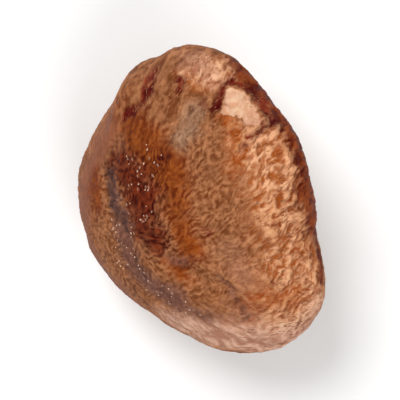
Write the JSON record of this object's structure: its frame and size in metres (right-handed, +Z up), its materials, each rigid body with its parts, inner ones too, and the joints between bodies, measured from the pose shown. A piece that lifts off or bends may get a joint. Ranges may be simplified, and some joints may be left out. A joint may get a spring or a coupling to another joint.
{
  "type": "shiitake mushroom",
  "caption": "Fresh shiitake mushroom with a plump lobed brown cap, in-rolled margin, cream gills and a short trimmed stem, lying on its margin and stem edge.",
  "frame": {"origin": "middle of the bounding box's bottom face, on the surface the mushroom lies on", "axes": "+Z up from the surface; +Y along the longest side of the cap, towards its upper lobe; the crown of the cap leans over towards -X and slightly -Y, so the stem points down and towards +X"},
  "size_m": [0.0538, 0.0664, 0.0481],
  "materials": {
    "cap_skin": "matte",
    "gill_flesh": "matte",
    "stem_flesh": "matte"
  },
  "bodies": {
    "root": {"mushroom": "cap_skin"}
  },
  "joints": []
}
